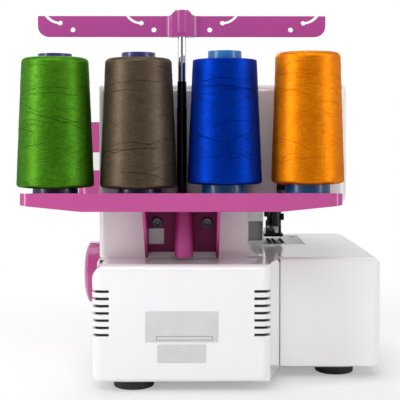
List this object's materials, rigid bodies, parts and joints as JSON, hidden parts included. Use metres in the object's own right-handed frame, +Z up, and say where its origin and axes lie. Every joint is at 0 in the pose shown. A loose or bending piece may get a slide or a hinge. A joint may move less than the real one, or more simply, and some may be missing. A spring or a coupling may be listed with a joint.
{
  "type": "serger overlock machine",
  "caption": "Overlock serger with a telescopic thread stand, thread cones, tension dials, swing-down looper cover and slide-off bed cover.",
  "frame": {"origin": "centre of the bounding box on the table under the feet", "axes": "+X to the handwheel side, +Y to the thread stand behind the machine, +Z up; the operator sits at -Y"},
  "size_m": [0.3262, 0.287, 0.3346],
  "materials": {
    "casing_white": "gloss moulded",
    "accent_pink": "gloss moulded",
    "inner_grey": "matte moulded",
    "base_grey": "matte moulded",
    "foot_rubber": "matte",
    "black_plastic": "matte",
    "dark_metal": "satin",
    "steel": "brushed",
    "chrome": "polished",
    "cast_alloy": "as cast",
    "bronze": "satin",
    "belt_rubber": "matte",
    "lamp_lens": "clear",
    "rocker_red": "gloss",
    "dial_orange": "gloss",
    "dial_blue": "gloss",
    "dial_brown": "gloss",
    "dial_green": "gloss",
    "core_navy": "satin",
    "core_sky": "satin",
    "yarn_green": "wound thread",
    "yarn_brown": "wound thread",
    "yarn_blue": "wound thread",
    "yarn_orange": "wound thread"
  },
  "bodies": {
    "machine": {"base_plate": "base_grey", "rubber_feet": "foot_rubber", "rear_casing": "casing_white", "body_casing": "casing_white", "tower_casing": "casing_white", "console_body": "casing_white", "upper_thread_guide": "accent_pink", "lower_thread_guide": "accent_pink", "tension_discs": "chrome", "looper_housing": "inner_grey", "free_arm": "inner_grey", "needle_plate": "steel", "lower_knife": "steel", "knife_guard": "casing_white", "sewing_lamp": "lamp_lens", "frame_casting": "cast_alloy", "shaft_bushings": "bronze", "drive_belt": "belt_rubber", "motor": "dark_metal", "mains_panel": "black_plastic", "spool_tray": "accent_pink", "stand_bracket": "accent_pink", "bracket_screws": "steel", "pole_lower": "black_plastic"},
    "side_cover": {"side_cover": "casing_white"},
    "looper_cover": {"looper_cover": "casing_white"},
    "dial_left_needle": {"dial_left_needle": "dial_orange"},
    "dial_right_needle": {"dial_right_needle": "dial_blue"},
    "dial_upper_looper": {"dial_upper_looper": "dial_brown"},
    "dial_lower_looper": {"dial_lower_looper": "dial_green"},
    "knife": {"knife_arm": "dark_metal", "upper_knife": "steel"},
    "lower_looper": {"lower_looper": "chrome"},
    "upper_looper": {"upper_looper": "chrome"},
    "feed": {"feed_dogs": "dark_metal"},
    "needle_bar": {"needle_bar": "chrome", "needle_clamp": "dark_metal", "needles": "chrome"},
    "presser": {"presser_bar": "chrome", "presser_foot": "dark_metal"},
    "lifter": {"presser_lifter": "black_plastic"},
    "pressure_dial": {"pressure_dial": "inner_grey"},
    "drive": {"main_shaft": "steel", "handwheel": "accent_pink", "shaft_pulley": "black_plastic"},
    "motor_rotor": {"motor_pulley": "black_plastic"},
    "length_dial": {"stitch_length_dial": "inner_grey"},
    "differential_dial": {"differential_dial": "inner_grey"},
    "rocker": {"power_rocker": "rocker_red"},
    "pole_middle": {"pole_middle": "black_plastic"},
    "pole_top": {"pole_top": "chrome"},
    "tree": {"thread_tree": "accent_pink"},
    "cone_green": {"core_green": "core_navy", "thread_green": "yarn_green"},
    "cone_brown": {"core_brown": "core_navy", "thread_brown": "yarn_brown"},
    "cone_blue": {"core_blue": "core_sky", "thread_blue": "yarn_blue"},
    "cone_orange": {"core_orange": "core_sky", "thread_orange": "yarn_orange"}
  },
  "joints": [
    {"name": "handwheel_turn", "type": "hinge", "parent": "machine", "child": "drive", "pos_m": [0.0794, -0.0145, 0.087], "axis": [1, 0, 0], "continuous": true},
    {"name": "motor_turn", "type": "hinge", "parent": "machine", "child": "motor_rotor", "pos_m": [0.0694, 0.0775, 0.048], "axis": [1, 0, 0], "continuous": true},
    {"name": "needle_bar_slide", "type": "slide", "parent": "machine", "child": "needle_bar", "axis": [0, 0, 1], "range_m": [-0.027, 0]},
    {"name": "lower_looper_swing", "type": "hinge", "parent": "machine", "child": "lower_looper", "pos_m": [-0.0726, -0.0615, 0.04], "axis": [0, 1, 0], "range_deg": [-22.2, 0]},
    {"name": "upper_looper_swing", "type": "hinge", "parent": "machine", "child": "upper_looper", "pos_m": [-0.0206, -0.0695, 0.06], "axis": [0, 1, 0], "range_deg": [-12.2, 0]},
    {"name": "knife_swing", "type": "hinge", "parent": "machine", "child": "knife", "pos_m": [-0.0546, -0.0465, 0.128], "axis": [1, 0, 0], "range_deg": [0, 8.2]},
    {"name": "feed_slide", "type": "slide", "parent": "machine", "child": "feed", "axis": [0, 1, 0], "range_m": [0, 0.0021]},
    {"name": "lifter_swing", "type": "hinge", "parent": "machine", "child": "lifter", "pos_m": [-0.0726, -0.0225, 0.172], "axis": [1, 0, 0], "range_deg": [-28, 0]},
    {"name": "presser_slide", "type": "slide", "parent": "machine", "child": "presser", "axis": [0, 0, 1], "range_m": [-0.0055, 0]},
    {"name": "pressure_dial_turn", "type": "hinge", "parent": "machine", "child": "pressure_dial", "pos_m": [-0.0756, -0.0465, 0.262], "axis": [0, 0, 1], "range_deg": [-180, 180]},
    {"name": "tension_left_needle_turn", "type": "hinge", "parent": "machine", "child": "dial_left_needle", "pos_m": [-0.0046, -0.1005, 0.1955], "axis": [1, 0, 0], "range_deg": [0, 300]},
    {"name": "tension_right_needle_turn", "type": "hinge", "parent": "machine", "child": "dial_right_needle", "pos_m": [0.0314, -0.1005, 0.1955], "axis": [1, 0, 0], "range_deg": [0, 300]},
    {"name": "tension_upper_looper_turn", "type": "hinge", "parent": "machine", "child": "dial_upper_looper", "pos_m": [0.0674, -0.1005, 0.1955], "axis": [1, 0, 0], "range_deg": [0, 300]},
    {"name": "tension_lower_looper_turn", "type": "hinge", "parent": "machine", "child": "dial_lower_looper", "pos_m": [0.1034, -0.1005, 0.1955], "axis": [1, 0, 0], "range_deg": [0, 300]},
    {"name": "stitch_length_turn", "type": "hinge", "parent": "machine", "child": "length_dial", "pos_m": [0.0974, -0.0945, 0.052], "axis": [1, 0, 0], "range_deg": [-135, 135]},
    {"name": "differential_turn", "type": "hinge", "parent": "machine", "child": "differential_dial", "pos_m": [0.0974, -0.0945, 0.088], "axis": [1, 0, 0], "range_deg": [-90, 90]},
    {"name": "rocker_tilt", "type": "hinge", "parent": "machine", "child": "rocker", "pos_m": [0.0929, 0.0345, 0.035], "axis": [0, 1, 0], "range_deg": [0, 16]},
    {"name": "looper_cover_open", "type": "hinge", "parent": "machine", "child": "looper_cover", "pos_m": [0.0094, -0.136, 0.016], "axis": [1, 0, 0], "range_deg": [0, 90]},
    {"name": "side_cover_slide", "type": "slide", "parent": "machine", "child": "side_cover", "axis": [-1, 0, 0], "range_m": [0, 0.1]},
    {"name": "pole_middle_slide", "type": "slide", "parent": "machine", "child": "pole_middle", "axis": [0, 0, 1], "range_m": [0, 0.1]},
    {"name": "pole_top_slide", "type": "slide", "parent": "pole_middle", "child": "pole_top", "axis": [0, 0, 1], "range_m": [0, 0.1]},
    {"name": "tree_swivel", "type": "hinge", "parent": "pole_top", "child": "tree", "pos_m": [0.0194, 0.0875, 0.319], "axis": [0, 0, 1], "range_deg": [-90, 90]},
    {"name": "cone_orange_turn", "type": "hinge", "parent": "machine", "child": "cone_orange", "pos_m": [-0.0905, 0.1065, 0.2], "axis": [0, 0, 1], "continuous": true},
    {"name": "cone_blue_turn", "type": "hinge", "parent": "machine", "child": "cone_blue", "pos_m": [-0.0181, 0.1065, 0.2], "axis": [0, 0, 1], "continuous": true},
    {"name": "cone_brown_turn", "type": "hinge", "parent": "machine", "child": "cone_brown", "pos_m": [0.0569, 0.1065, 0.2], "axis": [0, 0, 1], "continuous": true},
    {"name": "cone_green_turn", "type": "hinge", "parent": "machine", "child": "cone_green", "pos_m": [0.1293, 0.1065, 0.2], "axis": [0, 0, 1], "continuous": true}
  ],
  "couplings": [
    {"joint": "motor_turn", "follows": "handwheel_turn", "ratio": 3.5},
    {"joint": "lower_looper_swing", "follows": "needle_bar_slide", "rad_per_m": 14.2},
    {"joint": "upper_looper_swing", "follows": "needle_bar_slide", "rad_per_m": 7.757},
    {"joint": "knife_swing", "follows": "needle_bar_slide", "rad_per_m": -5.171},
    {"joint": "feed_slide", "follows": "needle_bar_slide", "ratio": -0.0741},
    {"joint": "lifter_swing", "follows": "presser_slide", "rad_per_m": 88.853}
  ]
}
